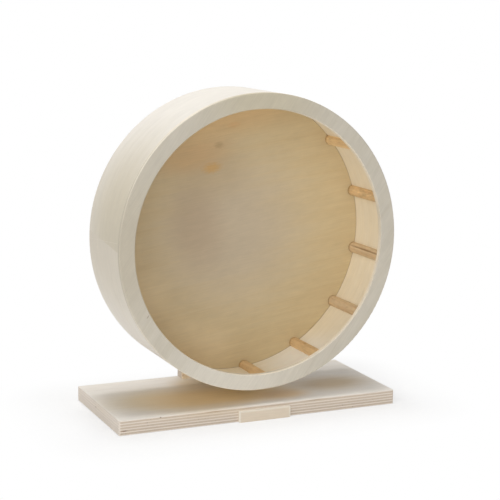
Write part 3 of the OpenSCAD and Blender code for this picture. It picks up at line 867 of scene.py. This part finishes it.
class WHEEL_OT_drum(bpy.types.Operator):
    """Finish the drum's front ring, bent strip and back disc"""

    bl_idname = "wheel.drum"
    bl_label = "Drum"

    def execute(self, context):
        wood = context.scene.wheel_drum
        low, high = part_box("front_ring")
        finish_node("front_ring", plywood(
            "birch_ring", (flat_panel, *leaning(55), (0, low.y, AXLE.z)), high.y - low.y,
            wood.ring_ply, (wood.ring, wood.ring_streak, wood.ring_edge_and_highlight, wood.ring_edge_and_highlight),
            figure=0.6, marks=coloured(RING_MARKS, wood), seed=41.0))

        low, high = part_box("tread_band")
        disc_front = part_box("back_disc")[0].y
        # Dark lines inside the strip, where ring and disc meet it: partly a glue line and partly
        # painted shade at the ring, painted contact shadow at the disc
        joints = (
            ((0, (low.y - AXLE.y) / MM, 0), (9000, 2.6, 3), "#86694A", 0.8),
            ((0, (disc_front - AXLE.y) / MM, 0), (9000, 2.6, 3), "#9C7F58", 0.6),
        )
        finish_node("tread_band", plywood(
            "birch_band", (bent_panel, high.x - wood.strip, wood.seam_angle, wood.seam_lean,
                           (low.y + high.y) / 2), wood.strip, wood.strip_ply,
            (wood.band, wood.band_streak, wood.edge, wood.end),
            figure=0.5, back=wood.band_back, marks=coloured(BAND_MARKS + joints, wood), seed=53.0))

        low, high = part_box("back_disc")
        finish_node("back_disc", plywood(
            "warm_disc", (flat_panel, *leaning(9), (0, low.y, AXLE.z)), high.y - low.y,
            wood.disc_ply, (wood.disc, wood.disc_streak, wood.edge, wood.end),
            figure=0.55, marks=coloured(DISC_MARKS, wood), seed=67.0))
        return {"FINISHED"}


class WHEEL_OT_seam(bpy.types.Operator):
    """Fill the slit between the bent strip's ends with glue"""

    bl_idname = "wheel.seam"
    bl_label = "Seam"

    def execute(self, context):
        wood = context.scene.wheel_drum
        low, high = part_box("tread_band")
        outward = RIGHT * math.cos(wood.seam_angle) + UP * math.sin(wood.seam_angle)
        onward = UP * math.cos(wood.seam_angle) - RIGHT * math.sin(wood.seam_angle)
        middle, eased_edge = (low.y + high.y) / 2, 1.0 * MM
        deep, shallow, half = high.x - wood.strip, high.x - wood.glue_low, wood.glue / 2
        corners = ((deep, -half), (deep, half), (shallow, half), (shallow, -half))
        mesh = bmesh.new()
        sections = []
        # From the ring's back to the eased back edge, a hair below the drum's surface
        for y in (low.y, high.y - eased_edge):
            centre = Vector((0, y, AXLE.z)) + onward * (y - middle) * math.tan(wood.seam_lean)
            sections.append([mesh.verts.new(centre + outward * reach + onward * side)
                             for reach, side in corners])
        join_sections(mesh, sections)
        piece = new_piece("seam_glue", mesh, dried_glue())
        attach(piece, "wheel")
        return {"FINISHED"}


class WHEEL_OT_rungs(bpy.types.Operator):
    """Finish the half-round rungs, each from one of a few sticks of beech"""

    bl_idname = "wheel.rungs"
    bl_label = "Rungs"

    def execute(self, context):
        wood = context.scene.wheel_rungs
        # Darker ends at the disc: partly glue, partly painted contact shadow where they meet it
        end = ((0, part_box("back_disc")[0].y / MM, 0), (9000, 7, 9000), "#94703F", 0.6)
        sticks = {}
        for name, tone, seed, cloud, marks in (
                ("light", wood.light, 5.0, 0.2, (end,)),
                ("warm", wood.warm, 17.0, 0.2, (end, WARM_RUNG_MARK)),
                ("clouded", wood.warm, 41.0, 0.45, (end,)),
                ("grey", wood.grey, 29.0, 0.2, (end, GREY_RUNG_MARK))):
            sticks[name] = beech_moulding(
                f"beech_{name}", tone, wood.ray, seed, cloud, coloured(marks, wood))
        rungs = sorted(name for name in frame["nodes"] if name.startswith("rung_"))
        for i, name in enumerate(rungs):
            finish_node(name, sticks[RUNG_ORDER[i % len(RUNG_ORDER)]])
        return {"FINISHED"}


class WHEEL_OT_axle(bpy.types.Operator):
    """Finish the bolt, nuts, washer, shims and screws"""

    bl_idname = "wheel.axle"
    bl_label = "Axle"

    def execute(self, context):
        sizes = context.scene.wheel_axle
        zinc, sheet, nylon = zinc_plated_steel(), pressed_steel_sheet(), moulded_nylon()
        for name in ("axle_bolt", "hub_nut", "lock_nut", "hub_screws", "foot_screws"):
            finish_node(name, zinc)
        for name in ("hub_washer", "front_shim", "rear_shim", "spacer_ring"):
            finish_node(name, sheet)
        finish_node("lock_nut_insert", nylon)

        # Bolt and hub screws point backwards, foot screws hang head down
        backwards = Matrix.Rotation(math.radians(-90), 4, "X")
        head_down = Matrix.Rotation(math.pi, 4, "X")

        low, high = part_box("axle_bolt")
        head_back = low.y + sizes.bolt_head
        bolt = turned_piece("threaded_bolt", [hex_bolt(
            Matrix.Translation((AXLE.x, head_back, AXLE.z)) @ backwards, high.z - low.z,
            sizes.bolt_head, sizes.bolt_radius, high.y - head_back, sizes.bolt_chamfer)], zinc)
        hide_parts("axle_bolt")
        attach(bolt, "wheel")

        # One at each end of the row and one in its middle, driven in from under the base
        low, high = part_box("foot_screws")
        head = high.y - low.y
        screws = turned_piece("threaded_foot_screws", [
            wood_screw(Matrix.Translation((x, (low.y + high.y) / 2, low.z)) @ head_down,
                       head, sizes.foot_shank, high.z - low.z)
            for x in (low.x + head / 2, (low.x + high.x) / 2, high.x - head / 2)], zinc)
        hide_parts("foot_screws")
        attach(screws, "stand")

        # From the back of the hub block into the disc
        low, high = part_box("hub_screws")
        places = []
        for angle in HUB_SCREW_ANGLES:
            turn, reach = math.radians(angle), sizes.hub_circle / 2
            spot = (reach * math.cos(turn), high.y, AXLE.z + reach * math.sin(turn))
            places.append(Matrix.Translation(spot) @ backwards)
        screws = turned_piece("threaded_hub_screws", [
            wood_screw(place, sizes.hub_head, sizes.hub_shank, high.y - low.y)
            for place in places], zinc)
        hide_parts("hub_screws")
        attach(screws, "wheel")
        return {"FINISHED"}


class WHEEL_OT_bearings(bpy.types.Operator):
    """Finish both ball bearings"""

    bl_idname = "wheel.bearings"
    bl_label = "Bearings"

    def execute(self, context):
        ground, sheet, nylon = ground_bearing_steel(), pressed_steel_sheet(), moulded_nylon()
        for place in ("front", "rear"):
            for part in ("outer", "inner", "balls"):
                finish_node(f"{place}_bearing_{part}", ground)
            finish_node(f"{place}_bearing_shields", sheet)
            finish_node(f"{place}_bearing_cage", nylon)
        return {"FINISHED"}


class WHEEL_OT_stage(bpy.types.Operator):
    """Set the camera, the white floor, the softboxes and the light from all sides"""

    bl_idname = "wheel.stage"
    bl_label = "Stage"

    def execute(self, context):
        stage = context.scene.wheel_stage
        place_camera(context.scene)
        white_floor(stage)
        above = (*SOFTBOX_ABOVE, stage.lamp_height)
        softbox("softbox_above", above, stage.lamp_size, stage.lamp_power)
        softbox("softbox_front", SOFTBOX_FRONT, stage.front_size, stage.front_power)
        white_world(context.scene, stage)
        context.scene.view_settings.view_transform = "Standard"
        return {"FINISHED"}


SETTINGS = {
    "wheel_boards": WheelBoardSettings,
    "wheel_drum": WheelDrumSettings,
    "wheel_rungs": WheelRungSettings,
    "wheel_axle": WheelAxleSettings,
    "wheel_stage": WheelStageSettings,
}
STEPS = (
    WHEEL_OT_stage,
    WHEEL_OT_boards,
    WHEEL_OT_label_plate,
    WHEEL_OT_drum,
    WHEEL_OT_seam,
    WHEEL_OT_rungs,
    WHEEL_OT_axle,
    WHEEL_OT_bearings,
)


class WHEEL_PT_panel(bpy.types.Panel):
    """Steps that finish the wheel"""

    bl_label = "Exercise Wheel"
    bl_idname = "WHEEL_PT_panel"
    bl_space_type = "VIEW_3D"
    bl_region_type = "UI"
    bl_category = "Wheel"

    def draw(self, context):
        for name, group in SETTINGS.items():
            box = self.layout.box()
            box.label(text=group.__doc__)
            settings = getattr(context.scene, name)
            for field in group.__annotations__:
                box.prop(settings, field)
        for step in STEPS:
            self.layout.operator(step.bl_idname)


CLASSES = tuple(SETTINGS.values()) + STEPS + (WHEEL_PT_panel,)


def register():
    for cls in CLASSES:
        bpy.utils.register_class(cls)
    for name, group in SETTINGS.items():
        setattr(bpy.types.Scene, name, bpy.props.PointerProperty(type=group))


def unregister():
    for name in SETTINGS:
        delattr(bpy.types.Scene, name)
    for cls in reversed(CLASSES):
        bpy.utils.unregister_class(cls)


def main():
    register()
    for step in STEPS:
        group, name = step.bl_idname.split(".")
        getattr(getattr(bpy.ops, group), name)()


if __name__ == "__main__":
    main()
